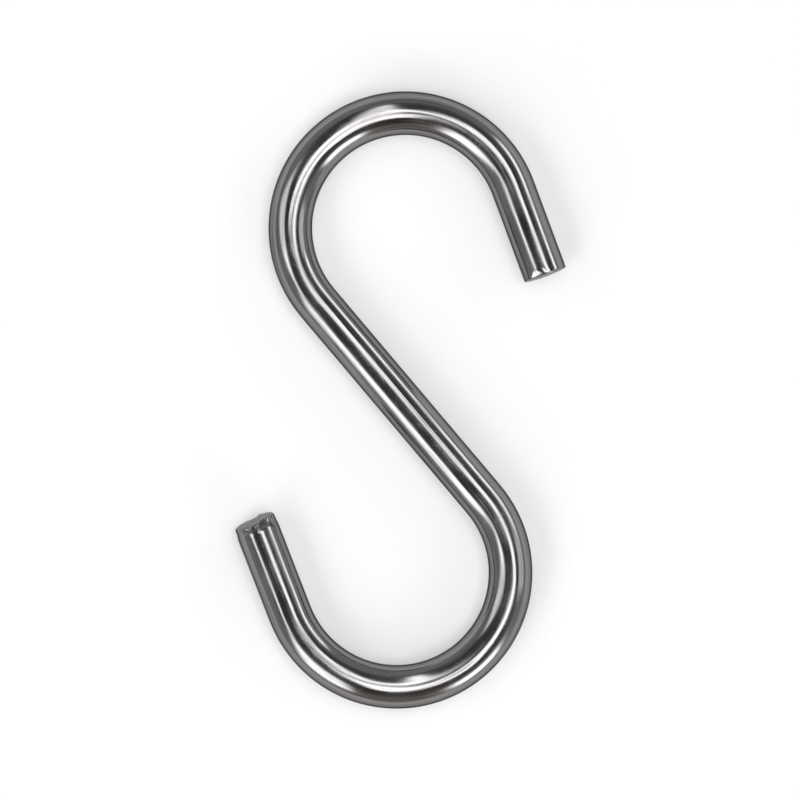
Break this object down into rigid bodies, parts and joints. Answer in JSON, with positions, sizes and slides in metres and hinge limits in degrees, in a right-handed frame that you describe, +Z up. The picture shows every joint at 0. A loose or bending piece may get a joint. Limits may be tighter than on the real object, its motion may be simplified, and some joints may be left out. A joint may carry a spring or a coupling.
{
  "type": "s hook",
  "caption": "S hook bent from a length of round polished steel wire: two round bends joined by a straight slanting shank, and short straight legs with cropped ends.",
  "frame": {"origin": "on the surface that the hook lies on, under the middle of its outline", "axes": "+Y up the S, along its longest extent; +X towards the upper cut end; +Z up, through the thickness of the wire"},
  "size_m": [0.0303, 0.0564, 0.004],
  "materials": {
    "steel": "bright polished steel wire with fine drawing lines and duller cropped ends"
  },
  "bodies": {
    "root": {"hook": "steel"}
  },
  "joints": []
}
